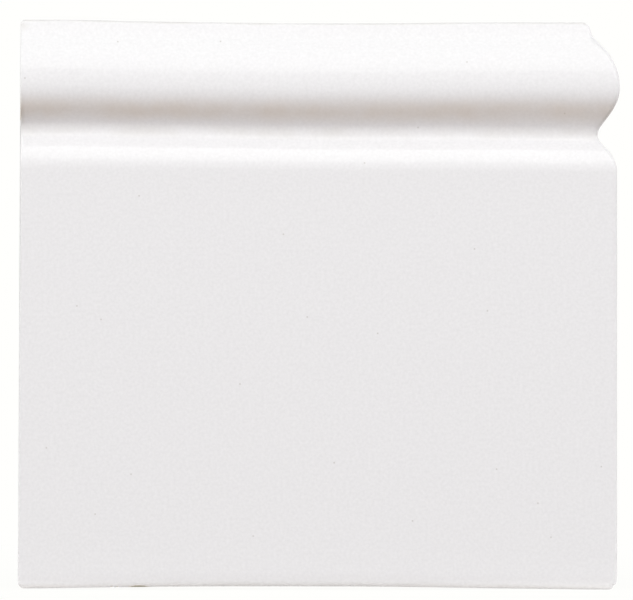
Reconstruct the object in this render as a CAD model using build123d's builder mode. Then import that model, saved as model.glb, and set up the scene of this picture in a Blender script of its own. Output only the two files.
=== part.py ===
from build123d import *
import math
import os

# Overall sizes, in millimetres
front_length = 152.4  # plain face, from the square left end to the rounded tip of the mitre: six inches
tile_height = 145.0  # floor to the top of the lip
face_depth = 15.3  # wall to the plain face

# Lip and hollow above the bead, with each slope measured from the vertical
lip_setback = 7.3  # the top of the lip stands this far behind the plain face
lip_drop = 2.8  # height of the leaning face of the lip
lip_slope = 18.0
hollow_radius = 4.0
upper_slope = 44.0
upper_run = 2.5  # straight stretch between the hollow and the bead

# Bead and the groove under it
bead_projection = 0.65  # the crest of the bead stands this far in front of the plain face
under_slope = 42.0
under_run = 3.3  # straight stretch between the bead and the groove
groove_depth = 4.8  # from the plain face to the bottom of the groove
groove_radius = 2.6

# Shoulder that runs out of the groove into the plain face
shoulder_slope = 42.5
shoulder_run = 2.4  # straight stretch between the groove and the shoulder

# Mitred right end, which turns an outside corner of the wall
mitre_angle = 45.0  # between the mitred face and the wall face

# Arrises rounded by the mould and the glaze
mitre_arris = 1.6
top_arris = 1.0
bottom_arris = 1.5
left_arris = 0.5
arris_share = 0.95  # most of an edge's own radius that a rounding which turns round it may have

# Key grooves pressed in the back, which the adhesive grips
key_width = 7.0
key_depth = 1.2
key_pitch = 12.0
key_margin = 8.0  # least plain border between the keys and the edges of the back
key_draft = 20.0  # slope of the side walls of a key


def heading(slope):
    """Direction down the front face where it leans away from the wall by the slope."""
    return Vector(-math.sin(math.radians(slope)), -math.cos(math.radians(slope)))


def arc_share(low_slope, high_slope):
    """Distance from the wall that an arc of unit radius gains between two slopes."""
    return math.cos(math.radians(low_slope)) - math.cos(math.radians(high_slope))


def run_gain(length, slope):
    """Distance from the wall that a straight stretch gains."""
    return length * math.sin(math.radians(slope))


# The three large radii take up what the straight stretches and the small radii leave of each rise
upper_rise = (
    lip_setback
    + bead_projection
    - lip_drop * math.tan(math.radians(lip_slope))
    - hollow_radius * arc_share(lip_slope, upper_slope)
    - run_gain(upper_run, upper_slope)
)
bead_upper_radius = upper_rise / arc_share(0, upper_slope)
under_rise = (
    bead_projection + groove_depth - groove_radius * arc_share(0, under_slope) - run_gain(under_run, under_slope)
)
bead_lower_radius = under_rise / arc_share(0, under_slope)
shoulder_rise = groove_depth - groove_radius * arc_share(0, shoulder_slope) - run_gain(shoulder_run, shoulder_slope)
shoulder_radius = shoulder_rise / arc_share(0, shoulder_slope)

# Ends of the tile, and the sharp tip that the mitre has before its arris is rounded
left_x = -front_length / 2
tip_loss = mitre_arris * (1 / math.tan(math.radians(mitre_angle / 2)) - 1)
sharp_tip_x = front_length / 2 + tip_loss
back_right_x = sharp_tip_x - face_depth / math.tan(math.radians(mitre_angle))

# The top and bottom roundings turn round the mitred arris, and the left one turns round both
top_radius = min(top_arris, arris_share * mitre_arris)
bottom_radius = min(bottom_arris, arris_share * mitre_arris)
left_radius = min(left_arris, arris_share * top_radius, arris_share * bottom_radius)

# Keys fill the back inside its plain border
key_length = back_right_x - left_x - 2 * key_margin
key_count = 1 + math.floor((tile_height - 2 * key_margin - key_width) / key_pitch)
key_centre = Vector((left_x + back_right_x) / 2, tile_height / 2)

LOWEST = 0
HIGHEST = -1


def rim(axis, place):
    """Edges round the face of the tile that lies lowest or highest along an axis."""
    return skirting_tile.faces().sort_by(axis)[place].edges()


with BuildPart() as skirting_tile:
    # Section across the tile, drawn from the wall over the lip and down the front
    with BuildSketch(Plane.YZ.offset(left_x)):
        with BuildLine():
            top_edge = Line((0, tile_height), (lip_setback - face_depth, tile_height))
            lip = PolarLine(
                top_edge @ 1, lip_drop, direction=heading(lip_slope), length_mode=LengthMode.VERTICAL
            )
            hollow = JernArc(lip @ 1, lip % 1, hollow_radius, lip_slope - upper_slope)
            upper = PolarLine(hollow @ 1, upper_run, direction=hollow % 1)
            bead_upper = JernArc(upper @ 1, upper % 1, bead_upper_radius, upper_slope)
            bead_lower = JernArc(bead_upper @ 1, bead_upper % 1, bead_lower_radius, under_slope)
            under = PolarLine(bead_lower @ 1, under_run, direction=bead_lower % 1)
            groove = JernArc(under @ 1, under % 1, groove_radius, -under_slope - shoulder_slope)
            shoulder = PolarLine(groove @ 1, shoulder_run, direction=groove % 1)
            ovolo = JernArc(shoulder @ 1, shoulder % 1, shoulder_radius, shoulder_slope)
            plain_face = Line(ovolo @ 1, (-face_depth, 0))
            bottom_edge = Line(plain_face @ 1, (0, 0))
            Line(bottom_edge @ 1, top_edge @ 0)
        make_face()
    extrude(amount=sharp_tip_x + face_depth - left_x)

    # Mitre, cut from the end of the wall face out to the front
    mitre_plane = Plane(
        origin=(back_right_x, 0, 0),
        z_dir=(math.sin(math.radians(mitre_angle)), math.cos(math.radians(mitre_angle)), 0),
    )
    split(bisect_by=mitre_plane, keep=Keep.BOTTOM)

    # Arris of the mitred end, which follows the moulding from the bottom edge to the lip
    mitred_face = skirting_tile.faces().filter_by(mitre_plane)[0]
    fillet(mitred_face.edges() - rim(Axis.Z, HIGHEST) - rim(Axis.Z, LOWEST) - rim(Axis.Y, HIGHEST), mitre_arris)

    # Top and bottom arrises, which turn round the mitred one
    fillet(rim(Axis.Z, HIGHEST) - rim(Axis.X, LOWEST) - rim(Axis.Y, HIGHEST), top_radius)
    fillet(rim(Axis.Z, LOWEST) - rim(Axis.X, LOWEST) - rim(Axis.Y, HIGHEST), bottom_radius)

    # Arris of the square end
    fillet(rim(Axis.X, LOWEST) - rim(Axis.Y, HIGHEST), left_radius)

    # Keys in the back, with round ends and sloping walls
    with BuildSketch(Plane.XZ):
        with Locations(key_centre):
            with GridLocations(key_pitch, key_pitch, 1, key_count):
                SlotOverall(key_length, key_width)
    extrude(amount=key_depth, taper=key_draft, mode=Mode.SUBTRACT)

skirting_tile.part.label = "skirting_tile"
os.makedirs("parts", exist_ok=True)
export_step(skirting_tile.part, "parts/skirting_tile.step")
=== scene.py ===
import math

import bpy
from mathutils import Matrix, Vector


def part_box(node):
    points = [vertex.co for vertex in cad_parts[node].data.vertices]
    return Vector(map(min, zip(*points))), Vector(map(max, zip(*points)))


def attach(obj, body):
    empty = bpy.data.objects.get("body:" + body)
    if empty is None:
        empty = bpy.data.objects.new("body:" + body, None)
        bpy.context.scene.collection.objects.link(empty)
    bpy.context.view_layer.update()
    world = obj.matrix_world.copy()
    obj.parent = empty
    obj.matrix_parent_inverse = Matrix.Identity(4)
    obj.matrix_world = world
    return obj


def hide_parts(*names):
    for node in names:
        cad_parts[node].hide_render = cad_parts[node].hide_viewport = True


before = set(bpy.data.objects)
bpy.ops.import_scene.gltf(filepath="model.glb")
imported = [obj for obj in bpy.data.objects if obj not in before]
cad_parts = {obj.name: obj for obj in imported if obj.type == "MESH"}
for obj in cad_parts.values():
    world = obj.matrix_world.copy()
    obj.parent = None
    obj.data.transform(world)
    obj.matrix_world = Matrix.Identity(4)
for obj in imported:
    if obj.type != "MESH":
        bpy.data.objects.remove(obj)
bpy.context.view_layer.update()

MM = 0.001

# The tile's box gives its length, height and depth; the rest of the moulding is set in millimetres
TILE = "skirting_tile"
tile_low, tile_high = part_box(TILE)
LEFT_X = tile_low.x
HEIGHT = tile_high.z
BEAD_DEPTH = -tile_low.y
BEAD_PROJECTION = 0.65 * MM
FACE_DEPTH = BEAD_DEPTH - BEAD_PROJECTION
LIP_SETBACK = 7.3 * MM
LIP_DROP = 2.8 * MM
LIP_SLOPE = 18.0
HOLLOW_RADIUS = 4.0 * MM
UPPER_SLOPE = 44.0
UPPER_RUN = 2.5 * MM
UNDER_SLOPE = 42.0
UNDER_RUN = 3.3 * MM
GROOVE_DEPTH = 4.8 * MM
GROOVE_RADIUS = 3.0 * MM
SHOULDER_SLOPE = 42.5
SHOULDER_RUN = 2.4 * MM

# Roundings of the arrises
TOP_ARRIS = 1.0 * MM
BOTTOM_ARRIS = 1.8 * MM
FOOT_RADIUS = 12.0 * MM
FOOT_SLOPE = 12.0
LEFT_ARRIS = 0.5 * MM
MITRE_ARRIS = 1.6 * MM
MITRE_ARRIS_AT_TOP = 0.55
ARRIS_FADE = 1.5 * MM
MITRE_END = Vector((1, 1, 0)).normalized()
BACK_RIGHT_X = tile_high.x - BEAD_DEPTH + math.sqrt(2) * MITRE_ARRIS
FRONT_RIGHT_X = tile_high.x - BEAD_PROJECTION
LIP_RIGHT_X = FRONT_RIGHT_X - LIP_SETBACK

# Corners as they show from the front: the point they round off, the way it lies, and the radius
CORNERS = (
    (LEFT_X, HEIGHT, -1, 1, 1.0 * MM),
    (LEFT_X, 0.0, -1, -1, 1.5 * MM),
    (LIP_RIGHT_X, HEIGHT, 1, 1, 1.3 * MM),
    (FRONT_RIGHT_X, 0.0, 1, -1, 2.0 * MM),
)

# Bows that drying and firing left, as (share of the length or height, millimetres): the edges bow inward,
# and the groove and shoulder sink
TOP_SAG = (
    (0.0, 0.0), (0.06, 0.0), (0.13, 0.15), (0.2, 0.4), (0.31, 0.65),
    (0.52, 0.93), (0.8, 0.7), (0.94, 0.68), (1.0, 0.6),
)
BOTTOM_LIFT = (
    (0.0, 0.25), (0.05, 0.33), (0.17, 0.56), (0.3, 0.75), (0.5, 0.78),
    (0.66, 0.6), (0.76, 0.38), (0.9, 0.1), (0.96, 0.0), (1.0, 0.0),
)
LEFT_LEAN = (
    (0.0, 0.0), (0.03, 0.01), (0.11, 0.1), (0.23, 0.25),
    (0.37, 0.36), (0.48, 0.43), (0.56, 0.56), (1.0, 0.56),
)
SHOULDER_DROP = ((0.0, 0.3), (0.3, 0.3), (0.5, 0.5), (0.8, 0.68), (0.93, 0.9), (1.0, 1.0))
BOW_RANGE = 1.2 * MM
LEAN_REACH = 30 * MM

# Heights over which the drop of the groove and shoulder grows, and the lower ones over which it fades
DROP_START = (124 * MM, 117.5 * MM)
DROP_END = (98 * MM, 113 * MM)

# Small unevenness of the fired tile: along its outline, and over its surface
OUTLINE_WOBBLE = 0.15 * MM
SURFACE_WAVES = 0.05 * MM

# How far back from the bead the glaze runs over the top, under the foot and round the two ends
GLAZE_OVER_TOP = BEAD_DEPTH - 1.5 * MM
GLAZE_UNDER_FOOT = 3.5 * MM
GLAZE_ROUND_ENDS = 6.5 * MM

# Height at which the painted shade in the recess under the bead is darkest, and how far it reaches
RECESS_Z = 122.2 * MM
RECESS_REACH = 2.7 * MM

# Nicks in the foot: middle and half sizes
NICKS = (((-52.3, -11.0, 0.55), (0.62, 7.0, 0.45)), ((-50.8, -11.5, 0.55), (0.42, 6.0, 0.4)))

# Keys pressed in the back
KEY_WIDTH = 7.0 * MM
KEY_DEPTH = 1.2 * MM
KEY_PITCH = 12.0 * MM
KEY_MARGIN = 8.0 * MM
KEY_DRAFT = 20.0
KEY_COUNT = 1 + math.floor((HEIGHT - 2 * KEY_MARGIN - KEY_WIDTH) / KEY_PITCH + 1e-6)

# Spacing of the mesh along the section and along the tile
ARRIS_STEP = 0.2 * MM
MOULDING_STEP = 0.4 * MM
FLAT_STEP = 1.5 * MM
RING_STEP = 0.8 * MM
LEFT_RINGS = 6
BODY_RINGS = round((FRONT_RIGHT_X - LEFT_X) / RING_STEP)
MITRE_RINGS = 12


def srgb(text):
    """Linear colour of a six-digit sRGB hex value."""
    channels = [int(text[i:i + 2], 16) / 255 for i in (1, 3, 5)]
    linear = [c / 12.92 if c <= 0.04045 else ((c + 0.055) / 1.055) ** 2.4 for c in channels]
    return (*linear, 1.0)


def node(tree, kind, inputs=(), **settings):
    """Adds a node. Inputs come in order, or by name in a dict. A socket is linked, and a value is set."""
    made = tree.nodes.new(kind)
    for name, value in settings.items():
        setattr(made, name, value)
    pairs = inputs.items() if isinstance(inputs, dict) else enumerate(inputs)
    for key, value in pairs:
        if isinstance(value, bpy.types.NodeSocket):
            tree.links.new(value, made.inputs[key])
        elif value is not None:
            made.inputs[key].default_value = value
    return made


def calc(tree, operation, *values):
    """Result of one step of arithmetic."""
    return node(tree, "ShaderNodeMath", values, operation=operation).outputs[0]


def vector(tree, operation, *values):
    """Result of one step of vector arithmetic; a scale comes last, after two gaps."""
    made = node(tree, "ShaderNodeVectorMath", values, operation=operation)
    return made.outputs[1] if operation in ("DOT_PRODUCT", "LENGTH") else made.outputs[0]


def ramp(tree, value, low, high, first=0.0, last=1.0, kind="LINEAR"):
    """Value moved from the range low to high into the range first to last, held at its ends."""
    inputs = (value, low, high, first, last)
    return node(tree, "ShaderNodeMapRange", inputs, interpolation_type=kind).outputs[0]


def tint(tree, first, second, share):
    """Colour that goes from the first to the second by a share."""
    made = node(tree, "ShaderNodeMix", {"Factor": share}, data_type="RGBA")
    for socket, value in ((made.inputs[6], first), (made.inputs[7], second)):
        if isinstance(value, bpy.types.NodeSocket):
            tree.links.new(value, socket)
        else:
            socket.default_value = value
    return made.outputs[2]


# Section of the tile

def outward(slope):
    """Direction out of the front face, as (y, z), where it leans away from the wall by the slope."""
    return Vector((-math.cos(math.radians(slope)), math.sin(math.radians(slope))))


def downward(slope):
    """Direction down the front face, as (y, z)."""
    return Vector((-math.sin(math.radians(slope)), -math.cos(math.radians(slope))))


def arc_share(low_slope, high_slope):
    """Distance from the wall that an arc of unit radius gains between two slopes."""
    return math.cos(math.radians(low_slope)) - math.cos(math.radians(high_slope))


def run_gain(length, slope):
    """Distance from the wall that a straight stretch gains."""
    return length * math.sin(math.radians(slope))


class Section:
    """Section as (y, z, slope, arris) points, drawn from the top of the wall face over the lip and down."""

    def __init__(self, y, z, slope):
        self.place = Vector((y, z))
        self.points = [(y, z, slope, 0.0)]

    def run(self, slope, length, step):
        count = max(1, math.ceil(length / step))
        start = self.place.copy()
        for i in range(1, count + 1):
            self.place = start + downward(slope) * length * i / count
            self.points.append((*self.place, slope, 0.0))

    def arc(self, low, high, radius, step, arris=0.0):
        count = max(2, math.ceil(radius * math.radians(abs(high - low)) / step))
        bulge = radius if high < low else -radius
        start = self.place.copy()
        for i in range(1, count + 1):
            slope = low + (high - low) * i / count
            self.place = start + bulge * (outward(slope) - outward(low))
            self.points.append((*self.place, slope, arris * math.sin(math.pi * i / count)))


def tile_section():
    """Outline of the tile from the top of its wall face to the foot of it."""
    lip_depth = FACE_DEPTH - LIP_SETBACK
    lip_lean = math.tan(math.radians(LIP_SLOPE))
    upper_rise = (
        LIP_SETBACK + BEAD_PROJECTION - LIP_DROP * lip_lean
        - HOLLOW_RADIUS * arc_share(LIP_SLOPE, UPPER_SLOPE) - run_gain(UPPER_RUN, UPPER_SLOPE)
    )
    under_rise = (
        BEAD_PROJECTION + GROOVE_DEPTH - GROOVE_RADIUS * arc_share(0, UNDER_SLOPE)
        - run_gain(UNDER_RUN, UNDER_SLOPE)
    )
    shoulder_rise = (
        GROOVE_DEPTH - GROOVE_RADIUS * arc_share(0, SHOULDER_SLOPE) - run_gain(SHOULDER_RUN, SHOULDER_SLOPE)
    )
    # The top arris starts this far short of the sharp edge that it takes away
    tangent = TOP_ARRIS * math.tan(math.radians((90 - LIP_SLOPE) / 2))

    section = Section(0.0, HEIGHT, 90)
    section.run(90, lip_depth - tangent, FLAT_STEP)
    section.arc(90, LIP_SLOPE, TOP_ARRIS, ARRIS_STEP, arris=1.0)
    section.run(LIP_SLOPE, LIP_DROP / math.cos(math.radians(LIP_SLOPE)) - tangent, MOULDING_STEP)
    section.arc(LIP_SLOPE, UPPER_SLOPE, HOLLOW_RADIUS, MOULDING_STEP)
    section.run(UPPER_SLOPE, UPPER_RUN, MOULDING_STEP)
    section.arc(UPPER_SLOPE, 0, upper_rise / arc_share(0, UPPER_SLOPE), MOULDING_STEP)
    section.arc(0, -UNDER_SLOPE, under_rise / arc_share(0, UNDER_SLOPE), MOULDING_STEP)
    section.run(-UNDER_SLOPE, UNDER_RUN, MOULDING_STEP)
    # The groove takes most of the thin-glaze tint, as painted shade
    section.arc(-UNDER_SLOPE, SHOULDER_SLOPE, GROOVE_RADIUS, ARRIS_STEP, arris=0.9)
    section.run(SHOULDER_SLOPE, SHOULDER_RUN, MOULDING_STEP)
    section.arc(SHOULDER_SLOPE, 0, shoulder_rise / arc_share(0, SHOULDER_SLOPE), MOULDING_STEP)
    # The plain face draws in a little over the foot before its arris turns under
    foot_share = math.sin(math.radians(FOOT_SLOPE))
    foot = FOOT_RADIUS * foot_share + BOTTOM_ARRIS * (1 - foot_share)
    section.run(0, section.place.y - foot, FLAT_STEP)
    section.arc(0, -FOOT_SLOPE, FOOT_RADIUS, MOULDING_STEP)
    # The foot arris faces down, and its share of the thin-glaze tint is painted shade
    section.arc(-FOOT_SLOPE, -90, BOTTOM_ARRIS, ARRIS_STEP, arris=0.5)
    section.run(-90, -section.place.x, FLAT_STEP)
    return section.points


def smooth(value, low, high):
    """0 below low, 1 above high, and an even curve between."""
    share = min(1.0, max(0.0, (value - low) / (high - low)))
    return share * share * (3 - 2 * share)


def section_wire():
    """The section as a closed wire, whose points carry the way they face and the roundings of both ends."""
    points = tile_section()
    edges = [(i, (i + 1) % len(points)) for i in range(len(points))]
    mesh = bpy.data.meshes.new("tile_section")
    mesh.from_pydata([(0.0, y, z) for y, z, slope, arris in points], edges, [])
    names = ("facing", "left_rounding", "mitre_rounding", "mitre_centre", "arris", "recess")
    values = {name: [] for name in names}
    for y, z, slope, arris in points:
        facing = Vector((0.0, *outward(slope)))
        share = smooth(-y, 0.0, ARRIS_FADE)
        at_top = smooth(z, HEIGHT - 2 * LIP_DROP, HEIGHT - TOP_ARRIS)
        rounding = MITRE_ARRIS * share * (1 - (1 - MITRE_ARRIS_AT_TOP) * at_top)
        centre = Vector((0.0, y, z)) - rounding * facing
        centre.x = BACK_RIGHT_X - centre.y - math.sqrt(2) * MITRE_ARRIS * share
        values["facing"].extend(facing)
        values["left_rounding"].append(LEFT_ARRIS * share)
        values["mitre_rounding"].append(rounding)
        values["mitre_centre"].extend(centre)
        values["arris"].append(arris)
        # Share of the painted shade in the recess under the bead
        values["recess"].append(math.exp(-((z - RECESS_Z) / RECESS_REACH) ** 2))
    for name, numbers in values.items():
        vectors = len(numbers) > len(points)
        made = mesh.attributes.new(name, "FLOAT_VECTOR" if vectors else "FLOAT", "POINT")
        made.data.foreach_set("vector" if vectors else "value", numbers)
    wire = bpy.data.objects.new("glazed_skirting_tile", mesh)
    bpy.context.collection.objects.link(wire)
    return wire


# Tree that sweeps the section into the tile

def new_tree(name, inputs):
    """A modifier tree with its named inputs, as name: (socket type, value), and their sockets inside."""
    tree = bpy.data.node_groups.new(name, "GeometryNodeTree")
    tree.interface.new_socket("Geometry", in_out="OUTPUT", socket_type="NodeSocketGeometry")
    tree.interface.new_socket("Geometry", in_out="INPUT", socket_type="NodeSocketGeometry")
    for label, (kind, value) in inputs.items():
        tree.interface.new_socket(label, in_out="INPUT", socket_type=kind)
    return tree, node(tree, "NodeGroupInput").outputs


def read(tree, name, kind="FLOAT"):
    """Named attribute of the mesh."""
    return node(tree, "GeometryNodeInputNamedAttribute", (name,), data_type=kind).outputs[0]


def curve(tree, value, points):
    """Bow read off a curve through (share, millimetres) points, as a length."""
    made = node(tree, "ShaderNodeFloatCurve", (1.0, value))
    line = made.mapping.curves[0].points
    while len(line) < len(points):
        line.new(0.5, 0.5)
    for knot, (share, bow) in zip(line, points):
        knot.location = (share, bow * MM / BOW_RANGE)
    made.mapping.update()
    return calc(tree, "MULTIPLY", made.outputs[0], BOW_RANGE)


def noise(tree, size, seed, place, detail=2.0):
    """Noise with features of that size in metres, from 0 to 1. Each seed reads another part of it."""
    shifted = vector(tree, "ADD", place, (seed, seed * 0.37, seed * 0.71))
    inputs = {"Vector": shifted, "Scale": 1 / size, "Detail": detail}
    return node(tree, "ShaderNodeTexNoise", inputs).outputs[0]


def rounded_corner(tree, place, x, z, way_x, way_z, radius):
    """Place, with the corner at (x, z) pressed into a round one."""
    centre = (x - way_x * radius, 0.0, z - way_z * radius)
    inside = vector(tree, "MULTIPLY", vector(tree, "SUBTRACT", place, centre), (way_x, 0.0, way_z))
    beyond = vector(tree, "MAXIMUM", inside, (0.0, 0.0, 0.0))
    split = node(tree, "ShaderNodeSeparateXYZ", (beyond,)).outputs
    longest = calc(tree, "MAXIMUM", split["X"], split["Z"])
    excess = calc(tree, "SUBTRACT", calc(tree, "DIVIDE", longest, vector(tree, "LENGTH", beyond)), 1.0)
    move = vector(tree, "SCALE", vector(tree, "MULTIPLY", beyond, (way_x, 0.0, way_z)), None, None, excess)
    return vector(tree, "ADD", place, move)


def key_solids(tree, given):
    """Solids that press the keys, in a row up the back."""
    outset = 0.5 * MM
    spread = math.tan(math.radians(KEY_DRAFT))
    outer_length = calc(tree, "ADD", given["Key Length"], 2 * outset * spread)
    outer_width = calc(tree, "ADD", given["Key Width"], 2 * outset * spread)
    outline = node(tree, "GeometryNodeCurvePrimitiveQuadrilateral", (outer_length, outer_width)).outputs[0]
    # Just under half the width, so that the two roundings of an end don't meet
    half = calc(tree, "MULTIPLY", outer_width, 0.4999)
    slot_inputs = {"Curve": outline, "Radius": half, "Count": 10}
    rounded = node(tree, "GeometryNodeFilletCurve", slot_inputs, mode="POLY").outputs[0]
    flat = node(tree, "GeometryNodeFillCurve", (rounded,), mode="NGONS").outputs[0]
    depth = calc(tree, "ADD", given["Key Depth"], outset)
    solid = node(tree, "GeometryNodeExtrudeMesh", {"Mesh": flat, "Offset Scale": depth, "Individual": False})
    base = node(tree, "GeometryNodeFlipFaces", (flat,)).outputs[0]
    inset = calc(tree, "MULTIPLY", depth, 2 * spread)
    shrink = node(tree, "ShaderNodeCombineXYZ", (
        calc(tree, "SUBTRACT", 1.0, calc(tree, "DIVIDE", inset, outer_length)),
        calc(tree, "SUBTRACT", 1.0, calc(tree, "DIVIDE", inset, outer_width)),
        1.0,
    )).outputs[0]
    here = node(tree, "GeometryNodeInputPosition").outputs[0]
    drafted = node(tree, "GeometryNodeSetPosition", (
        solid.outputs["Mesh"], solid.outputs["Top"], vector(tree, "MULTIPLY", here, shrink)
    )).outputs[0]
    closed = node(tree, "GeometryNodeJoinGeometry")
    tree.links.new(drafted, closed.inputs[0])
    tree.links.new(base, closed.inputs[0])
    merged = node(tree, "GeometryNodeMergeByDistance", {
        "Geometry": closed.outputs[0], "Distance": 1e-6
    }).outputs[0]
    gaps = calc(tree, "SUBTRACT", given["Key Count"], 1.0)
    lowest = calc(tree, "MULTIPLY", gaps, calc(tree, "MULTIPLY", given["Key Pitch"], -0.5))
    offset = node(tree, "ShaderNodeCombineXYZ", (0.0, outset, lowest)).outputs[0]
    first = vector(tree, "ADD", given["Key Centre"], offset)
    step = node(tree, "ShaderNodeCombineXYZ", (0.0, 0.0, given["Key Pitch"])).outputs[0]
    row = node(tree, "GeometryNodeMeshLine", {
        "Count": given["Key Count"], "Start Location": first, "Offset": step
    }).outputs[0]
    turn = node(tree, "FunctionNodeEulerToRotation", ((math.pi / 2, 0.0, 0.0),)).outputs[0]
    keys = node(tree, "GeometryNodeInstanceOnPoints", {
        "Points": row, "Instance": merged, "Rotation": turn
    }).outputs[0]
    return node(tree, "GeometryNodeRealizeInstances", (keys,)).outputs[0]


def tile_tree(inputs):
    """Sweeps the section between its two ends, rounds the arrises, bows the edges and presses the keys."""
    tree, given = new_tree("Skirting tile", inputs)
    outline = node(tree, "GeometryNodeMeshToCurve", (given["Geometry"],)).outputs[0]
    section_place = node(tree, "GeometryNodeCaptureAttribute", (outline,))
    section_place.capture_items.new("VECTOR", "Place")
    tree.links.new(node(tree, "GeometryNodeInputPosition").outputs[0], section_place.inputs[1])

    before_mitre = calc(tree, "ADD", given["Left Rings"], given["Body Rings"])
    rings = calc(tree, "ADD", before_mitre, given["Mitre Rings"])
    line = node(tree, "GeometryNodeCurvePrimitiveLine", {"End": (1.0, 0.0, 0.0)}).outputs[0]
    path = node(tree, "GeometryNodeResampleCurve", {"Curve": line, "Count": calc(tree, "ADD", rings, 1.0)})
    ring = node(tree, "GeometryNodeCaptureAttribute", (path.outputs[0],))
    ring.capture_items.new("FLOAT", "Ring")
    tree.links.new(node(tree, "GeometryNodeInputIndex").outputs[0], ring.inputs[1])
    swept = node(tree, "GeometryNodeCurveToMesh", {
        "Curve": ring.outputs[0], "Profile Curve": section_place.outputs[0], "Fill Caps": True
    }).outputs[0]

    place, number = section_place.outputs[1], ring.outputs[1]
    facing = read(tree, "facing", "FLOAT_VECTOR")
    after_left = calc(tree, "SUBTRACT", number, given["Left Rings"])
    after_body = calc(tree, "SUBTRACT", after_left, given["Body Rings"])
    left_turn = ramp(tree, number, 0.0, given["Left Rings"], 0.0, math.pi / 2)
    along = ramp(tree, after_left, 0.0, given["Body Rings"])
    mitre_turn = ramp(tree, after_body, 0.0, given["Mitre Rings"])

    # Left end: the section grows out to full size over a quarter turn
    left_rounding = read(tree, "left_rounding")
    grown = calc(tree, "SUBTRACT", 1.0, calc(tree, "SINE", left_turn))
    inward = calc(tree, "MULTIPLY", grown, calc(tree, "MULTIPLY", left_rounding, -1.0))
    shrunk = vector(tree, "SCALE", facing, None, None, inward)
    left_x = calc(tree, "ADD", given["Left End"], calc(
        tree, "MULTIPLY", left_rounding, calc(tree, "SUBTRACT", 1.0, calc(tree, "COSINE", left_turn))
    ))
    shift = node(tree, "ShaderNodeCombineXYZ", (left_x,)).outputs[0]
    left = vector(tree, "ADD", vector(tree, "ADD", place, shrunk), shift)

    # Right end: each point turns about its centre from the way it faces to the way the mitre faces
    angle = calc(tree, "ARCCOSINE", vector(tree, "DOT_PRODUCT", facing, tuple(MITRE_END)))
    turned = calc(tree, "MULTIPLY", angle, mitre_turn)
    still_to_turn = calc(tree, "SUBTRACT", angle, turned)
    from_front = vector(tree, "SCALE", facing, None, None, calc(tree, "SINE", still_to_turn))
    to_mitre = vector(tree, "SCALE", tuple(MITRE_END), None, None, calc(tree, "SINE", turned))
    reach = calc(tree, "DIVIDE", read(tree, "mitre_rounding"), calc(tree, "SINE", angle))
    direction = vector(tree, "ADD", from_front, to_mitre)
    swing = vector(tree, "SCALE", direction, None, None, reach)
    right = vector(tree, "ADD", read(tree, "mitre_centre", "FLOAT_VECTOR"), swing)
    body = node(tree, "ShaderNodeMix", {"Factor": along}, data_type="VECTOR")
    tree.links.new(left, body.inputs[4])
    tree.links.new(right, body.inputs[5])
    shape = body.outputs[1]

    # Corners, then the bows and the slight waves of a fired surface
    for corner in CORNERS:
        shape = rounded_corner(tree, shape, *corner)
    spot = node(tree, "ShaderNodeSeparateXYZ", (shape,)).outputs
    length_share = ramp(tree, spot["X"], LEFT_X, FRONT_RIGHT_X)
    height_share = ramp(tree, spot["Z"], 0.0, HEIGHT)
    sag = calc(tree, "MULTIPLY", curve(tree, length_share, TOP_SAG), height_share)
    low_share = calc(tree, "SUBTRACT", 1.0, height_share)
    lift = calc(tree, "MULTIPLY", curve(tree, length_share, BOTTOM_LIFT), low_share)
    shoulder = calc(
        tree, "MULTIPLY",
        ramp(tree, spot["Z"], *DROP_START, kind="SMOOTHSTEP"),
        ramp(tree, spot["Z"], *DROP_END, kind="SMOOTHSTEP"),
    )
    drop = calc(tree, "MULTIPLY", curve(tree, length_share, SHOULDER_DROP), shoulder)
    near_left = ramp(tree, spot["X"], LEFT_X, LEFT_X + LEAN_REACH, 1.0, 0.0, "SMOOTHSTEP")
    lean = calc(tree, "MULTIPLY", curve(tree, height_share, LEFT_LEAN), near_left)
    wobble_reach = calc(tree, "MULTIPLY", along, -OUTLINE_WOBBLE)
    wobble = calc(tree, "MULTIPLY", noise(tree, 9 * MM, 4.2, shape), wobble_reach)
    bow = node(tree, "ShaderNodeCombineXYZ", (
        calc(tree, "ADD", lean, wobble), 0.0, calc(tree, "SUBTRACT", lift, calc(tree, "ADD", sag, drop))
    )).outputs[0]
    waves = calc(tree, "MULTIPLY", noise(tree, 24 * MM, 1.3, shape, 1.0), given["Waves"])
    wave = vector(tree, "SCALE", facing, None, None, calc(tree, "MULTIPLY", waves, -1.0))
    move = vector(tree, "SCALE", vector(tree, "ADD", bow, wave), None, None, given["Bow"])
    shape = vector(tree, "ADD", shape, move)
    formed = node(tree, "GeometryNodeSetPosition", {"Geometry": swept, "Position": shape}).outputs[0]

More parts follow.
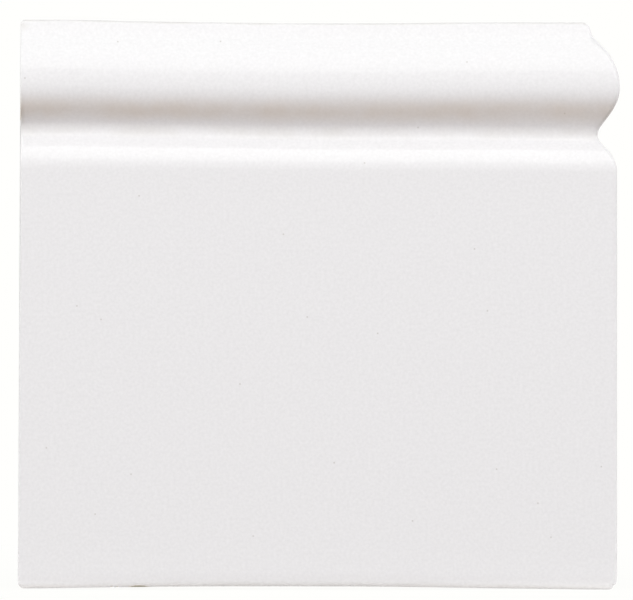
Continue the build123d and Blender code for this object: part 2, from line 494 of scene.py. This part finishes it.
    # Where the glaze ends, as a distance back from the bead
    normal = node(tree, "GeometryNodeInputNormal").outputs[0]
    aim = node(tree, "ShaderNodeSeparateXYZ", (normal,)).outputs
    up = node(tree, "ShaderNodeSeparateXYZ", (facing,)).outputs
    reach = 1.0
    for value, limit, depth in (
        (up["Z"], 0.99, GLAZE_OVER_TOP),
        (calc(tree, "MULTIPLY", up["Z"], -1.0), 0.99, GLAZE_UNDER_FOOT),
        (calc(tree, "MULTIPLY", aim["X"], -1.0), 0.999, GLAZE_ROUND_ENDS),
        (vector(tree, "DOT_PRODUCT", normal, tuple(MITRE_END)), 0.999, GLAZE_ROUND_ENDS),
        (aim["Y"], 0.9, 0.0),
    ):
        found = calc(tree, "GREATER_THAN", value, limit)
        reach = calc(tree, "MULTIPLY_ADD", found, calc(tree, "SUBTRACT", depth, reach), reach)
    glazed = node(tree, "GeometryNodeStoreNamedAttribute", {
        "Geometry": formed, "Name": "glaze_depth", "Value": reach
    }, data_type="FLOAT", domain="FACE").outputs[0]
    # Tint share of thin glaze over the top arris and the left end, and of painted shade in the groove and on
    # the foot arris
    bell = calc(tree, "MULTIPLY", calc(tree, "SINE", calc(tree, "MULTIPLY", left_turn, 2.0)), 0.4)
    thin_and_shade = calc(tree, "MAXIMUM", read(tree, "arris"), bell)
    thinned_and_shaded = node(tree, "GeometryNodeStoreNamedAttribute", {
        "Geometry": glazed, "Name": "thin_glaze_and_shade", "Value": thin_and_shade
    }, data_type="FLOAT", domain="POINT").outputs[0]

    cut = node(tree, "GeometryNodeMeshBoolean", operation="DIFFERENCE", solver="MANIFOLD")
    tree.links.new(thinned_and_shaded, cut.inputs["Mesh 1"])
    tree.links.new(key_solids(tree, given), cut.inputs["Mesh 2"])
    for middle, sizes in NICKS:
        ball = node(tree, "GeometryNodeMeshIcoSphere", {"Radius": MM, "Subdivisions": 3}).outputs[0]
        bite = node(tree, "GeometryNodeTransform", {
            "Geometry": ball, "Translation": tuple(v * MM for v in middle), "Scale": sizes
        }).outputs[0]
        tree.links.new(bite, cut.inputs["Mesh 2"])
    bend = node(tree, "GeometryNodeInputMeshEdgeAngle").outputs[0]
    crease = calc(tree, "GREATER_THAN", bend, math.radians(30))
    smoothed = node(tree, "GeometryNodeSetShadeSmooth", {
        "Geometry": cut.outputs[0], "Shade Smooth": True
    }, domain="FACE")
    sharp = node(tree, "GeometryNodeSetShadeSmooth", {
        "Geometry": smoothed.outputs[0], "Selection": crease, "Shade Smooth": False
    }, domain="EDGE")
    solid = node(tree, "GeometryNodeRealizeInstances", (sharp.outputs[0],)).outputs[0]
    clad = node(tree, "GeometryNodeSetMaterial", {
        "Geometry": solid, "Material": given["Material"]
    }).outputs[0]
    node(tree, "NodeGroupOutput", (clad,))
    return tree


def made_by(tree, inputs, wire):
    """The wire's object, turned into the plain mesh that the tree makes of it."""
    modifier = wire.modifiers.new(tree.name, "NODES")
    modifier.node_group = tree
    for item in tree.interface.items_tree:
        if item.name in inputs:
            modifier[item.identifier] = inputs[item.name][1]
    depsgraph = bpy.context.evaluated_depsgraph_get()
    mesh = bpy.data.meshes.new_from_object(wire.evaluated_get(depsgraph), depsgraph=depsgraph)
    wire.modifiers.clear()
    wire.data = mesh
    mesh.name = wire.name
    for name in ("facing", "left_rounding", "mitre_rounding", "mitre_centre", "arris"):
        if name in mesh.attributes:
            mesh.attributes.remove(mesh.attributes[name])
    return wire


# Materials

def blot(tree, place, middle, sizes):
    """Distance from the middle of an oval on the front, (x, z), as a share of its half sizes."""
    scale = (1 / sizes[0], 0.0, 1 / sizes[1])
    shift = (-middle[0] / sizes[0], 0.0, -middle[1] / sizes[1])
    inputs = {"Vector": place, "Location": shift, "Scale": scale}
    return vector(tree, "LENGTH", node(tree, "ShaderNodeMapping", inputs).outputs[0])


def glaze_material():
    """Glossy white glaze over a buff earthenware body, which is bare on the back and most of the ends."""
    material = bpy.data.materials.new("white glaze over buff earthenware biscuit")
    material.use_nodes = True
    tree = material.node_tree
    tree.nodes.clear()
    place = node(tree, "ShaderNodeTexCoord").outputs["Object"]
    spot = node(tree, "ShaderNodeSeparateXYZ", (place,)).outputs
    reach = node(tree, "ShaderNodeAttribute", attribute_name="glaze_depth").outputs["Fac"]
    thin_and_shade = node(tree, "ShaderNodeAttribute", attribute_name="thin_glaze_and_shade").outputs["Fac"]

    # The glaze ends in an uneven line that wanders by about a millimetre
    back = calc(tree, "ADD", spot["Y"], BEAD_DEPTH)
    wander = calc(tree, "MULTIPLY", calc(tree, "SUBTRACT", noise(tree, 7 * MM, 2.1, place), 0.5), 4 * MM)
    edge = calc(tree, "SUBTRACT", calc(tree, "ADD", reach, wander), back)
    glaze = ramp(tree, edge, 0.0, 0.15 * MM)
    bare = calc(tree, "LESS_THAN", reach, 1e-6)
    glaze = calc(tree, "MULTIPLY", glaze, calc(tree, "SUBTRACT", 1.0, bare))

    # Bare patch on the bottom arris, where the glaze crawled back and dirt has settled
    patch = blot(tree, place, (-45.4 * MM, 0.4 * MM), (2.6 * MM, 0.7 * MM))
    ragged = calc(tree, "ADD", patch, noise(tree, 1.5 * MM, 7.0, place))
    bared = ramp(tree, ragged, 1.3, 1.7, 1.0, 0.0)
    glaze = calc(tree, "MULTIPLY", glaze, calc(tree, "SUBTRACT", 1.0, bared))

    # Bare clay: buff, with iron specks a third of a millimetre across
    grain = noise(tree, 1.2 * MM, 5.0, place, 3.0)
    speck = node(tree, "ShaderNodeTexVoronoi", {"Vector": place, "Scale": 1 / (1.6 * MM)}).outputs["Distance"]
    clay = tint(tree, srgb("#C9B495"), srgb("#DCCBB0"), grain)
    specked = tint(tree, clay, srgb("#7A5A40"), ramp(tree, speck, 0.1, 0.16, 0.6, 0.0))
    dirty = tint(tree, specked, srgb("#B0AC9E"), bared)

    # Glaze: near white, faintly mottled, and warmer where it pulls thin over the top arris and the left end;
    # the same tint in the groove under the bead and on the foot arris, which faces down, is painted shade
    mottle = noise(tree, 0.8 * MM, 6.0, place, 4.0)
    white = tint(tree, srgb("#F0EFF2"), srgb("#E0DFE2"), mottle)
    pull_and_shade = calc(tree, "MULTIPLY", thin_and_shade, ramp(tree, noise(tree, 10 * MM, 8.0, place), 0.4, 0.7, 0.1, 0.36))
    corner = blot(tree, place, (LEFT_X + 1.2 * MM, HEIGHT - 1.6 * MM), (1.6 * MM, 1.4 * MM))
    bared_corner = ramp(tree, corner, 0.2, 1.2, 0.25, 0.0)
    thinned_and_shaded = tint(tree, white, srgb("#CCC8C2"), calc(tree, "MAXIMUM", pull_and_shade, bared_corner))

    # Pinholes a third of a millimetre across, about three centimetres apart
    flat = node(tree, "ShaderNodeCombineXYZ", (spot["X"], spot["Z"])).outputs[0]
    cells = node(tree, "ShaderNodeTexVoronoi", {
        "Vector": flat, "Scale": 1 / (28 * MM)
    }, voronoi_dimensions="2D").outputs["Distance"]
    hole = ramp(tree, cells, 0.003, 0.011, 0.35, 0.0)
    from_middle = calc(tree, "ABSOLUTE", calc(tree, "SUBTRACT", spot["Z"], HEIGHT / 2))
    on_front = calc(tree, "LESS_THAN", from_middle, HEIGHT / 2 - 2.4 * MM)
    pitted = tint(tree, thinned_and_shaded, srgb("#8C8276"), calc(tree, "MULTIPLY", hole, on_front))

    # Painted warm shade in the recess under the bead, and browner where the recess meets the square end
    recess = node(tree, "ShaderNodeAttribute", attribute_name="recess").outputs["Fac"]
    cloud = ramp(tree, noise(tree, 8 * MM, 9.0, place), 0.3, 0.7, 0.3, 0.5)
    recess_shaded = tint(tree, pitted, srgb("#D4C1AD"), calc(tree, "MULTIPLY", recess, cloud))
    near_end = ramp(tree, spot["X"], LEFT_X + 0.8 * MM, LEFT_X + 2.0 * MM, 0.33, 0.0)
    low_in_it = ramp(tree, spot["Z"], 123.5 * MM, 120.5 * MM, 0.2, 1.0)
    brown = calc(tree, "MULTIPLY", calc(tree, "MULTIPLY", recess, low_in_it), near_end)
    browned = tint(tree, recess_shaded, srgb("#8F7048"), brown)

    colour = tint(tree, dirty, browned, glaze)
    gloss = ramp(tree, glaze, 0.0, 1.0, 0.85, 0.06)
    ripple = noise(tree, 6 * MM, 3.0, place, 1.0)
    height = node(tree, "ShaderNodeMix", {"Factor": glaze}, data_type="FLOAT")
    tree.links.new(calc(tree, "MULTIPLY", grain, 0.05 * MM), height.inputs[2])
    tree.links.new(calc(tree, "MULTIPLY", ripple, 0.006 * MM), height.inputs[3])
    bump = node(tree, "ShaderNodeBump", {
        "Strength": 1.0, "Distance": 1.0, "Height": height.outputs[0]
    }).outputs[0]
    shader = node(tree, "ShaderNodeBsdfPrincipled", {
        "Base Color": colour, "Roughness": gloss, "IOR": 1.5, "Normal": bump
    })
    node(tree, "ShaderNodeOutputMaterial", (shader.outputs[0],))
    return material


tile_inputs = {
    "Left End": ("NodeSocketFloat", LEFT_X),
    "Left Rings": ("NodeSocketInt", LEFT_RINGS),
    "Body Rings": ("NodeSocketInt", BODY_RINGS),
    "Mitre Rings": ("NodeSocketInt", MITRE_RINGS),
    "Key Length": ("NodeSocketFloat", BACK_RIGHT_X - LEFT_X - 2 * KEY_MARGIN),
    "Key Width": ("NodeSocketFloat", KEY_WIDTH),
    "Key Depth": ("NodeSocketFloat", KEY_DEPTH),
    "Key Pitch": ("NodeSocketFloat", KEY_PITCH),
    "Key Count": ("NodeSocketInt", KEY_COUNT),
    "Key Centre": ("NodeSocketVector", ((BACK_RIGHT_X + LEFT_X) / 2, 0.0, HEIGHT / 2)),
    "Bow": ("NodeSocketFloat", 1.0),
    "Waves": ("NodeSocketFloat", SURFACE_WAVES),
    "Material": ("NodeSocketMaterial", glaze_material()),
}
tile = made_by(tile_tree(tile_inputs), tile_inputs, section_wire())
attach(tile, "root")
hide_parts(TILE)


# Floor, background, light and camera

def for_looks(tree):
    """1 for camera, glossy and transmission rays, 0 for the rays that only carry light."""
    path = node(tree, "ShaderNodeLightPath").outputs
    seen = calc(tree, "MAXIMUM", path["Is Camera Ray"], path["Is Glossy Ray"])
    return calc(tree, "MAXIMUM", seen, path["Is Transmission Ray"])


def pale_floor():
    """Plain white floor that keeps a faint shadow, and throws back much light only close to the tile."""
    mesh = bpy.data.meshes.new("floor")
    size = 6.0
    corners = [(-size, -size, 0), (size, -size, 0), (size, size, 0), (-size, size, 0)]
    mesh.from_pydata(corners, [], [(0, 1, 2, 3)])
    floor = bpy.data.objects.new("floor", mesh)
    bpy.context.collection.objects.link(floor)
    material = bpy.data.materials.new("matt white paper")
    material.use_nodes = True
    tree = material.node_tree
    tree.nodes.clear()
    place = node(tree, "ShaderNodeTexCoord").outputs["Object"]
    away = calc(tree, "ABSOLUTE", node(tree, "ShaderNodeSeparateXYZ", (place,)).outputs["Y"])
    colour = tint(tree, srgb("#F6F3EF"), srgb("#463020"), ramp(tree, away, 16.0 * MM, 17.2 * MM))
    bounce = node(tree, "ShaderNodeBsdfDiffuse", {"Color": colour}).outputs[0]
    lit = node(tree, "ShaderNodeBsdfDiffuse", {"Color": srgb("#FFFFFF")}).outputs[0]
    even = node(tree, "ShaderNodeEmission", {"Color": srgb("#FFFFFD")}).outputs[0]
    far = vector(tree, "LENGTH", place)
    seen = node(tree, "ShaderNodeMixShader", (ramp(tree, far, 0.1, 0.5, 0.95, 1.0), lit, even)).outputs[0]
    shader = node(tree, "ShaderNodeMixShader", (for_looks(tree), bounce, seen)).outputs[0]
    node(tree, "ShaderNodeOutputMaterial", (shader,))
    mesh.materials.append(material)


def background():
    """White behind the tile and in its glaze, and a dim room for the light that falls on it."""
    world = bpy.data.worlds.new("studio")
    world.use_nodes = True
    tree = world.node_tree
    tree.nodes.clear()
    colour = tint(tree, srgb("#A6A6A4"), srgb("#FFFFFD"), for_looks(tree))
    shader = node(tree, "ShaderNodeBackground", (colour, 1.0))
    node(tree, "ShaderNodeOutputWorld", (shader.outputs[0],))
    bpy.context.scene.world = world


def softbox(name, centre, turn, size, radiance, in_glaze=False, colour=(1.0, 1.0, 1.0)):
    """Area lamp, facing down unless turned about X, then Z. It lights the tile, or shows in its glaze."""
    lamp = bpy.data.lights.new(name, "AREA")
    lamp.shape = "RECTANGLE"
    lamp.size, lamp.size_y = size
    lamp.energy = radiance * math.pi * size[0] * size[1]
    lamp.color = colour
    made = bpy.data.objects.new(name, lamp)
    made.location = centre
    made.rotation_euler = [math.radians(angle) for angle in turn]
    made.visible_camera = False
    made.visible_glossy = in_glaze
    made.visible_diffuse = not in_glaze
    bpy.context.collection.objects.link(made)


def camera():
    """Square on to the plain face, from far enough that no side shows."""
    distance = 3.0
    width = 160.8 * MM
    data = bpy.data.cameras.new("camera")
    data.sensor_width = 36
    data.lens = data.sensor_width * distance / width
    data.clip_start = 0.1
    data.clip_end = 100
    made = bpy.data.objects.new("camera", data)
    made.location = (-0.3 * MM, -FACE_DEPTH - distance, 73.6 * MM)
    made.rotation_euler = (math.pi / 2, 0, 0)
    bpy.context.collection.objects.link(made)
    bpy.context.scene.camera = made


pale_floor()
background()
overhead_colour = (0.97, 1.0, 0.93)
softbox("front panel", (0.0, -2.2, 0.64), (90, 0, 0), (8.0, 1.27), 2.64)
softbox("left panel", (-1.6, 0.4, 0.35), (90, 0, -90), (1.8, 0.7), 3.2)
softbox("right panel", (1.6, 0.4, 0.35), (90, 0, 90), (1.8, 0.7), 2.7)
softbox("low overhead softbox", (0.0, -2.57, 2.0), (0, 0, 0), (8.0, 1.79), 0.6, colour=overhead_colour)
softbox("high overhead softbox", (0.0, -1.016, 2.0), (0, 0, 0), (8.0, 1.33), 0.43, colour=overhead_colour)
softbox(
    "mirrored softbox", (0.0, -1.34, 1.9), (0, 0, 0), (8.0, 2.68), 0.95, in_glaze=True, colour=overhead_colour
)
camera()
scene = bpy.context.scene
scene.view_settings.view_transform = "Standard"
scene.render.resolution_x = 633
scene.render.resolution_y = 600
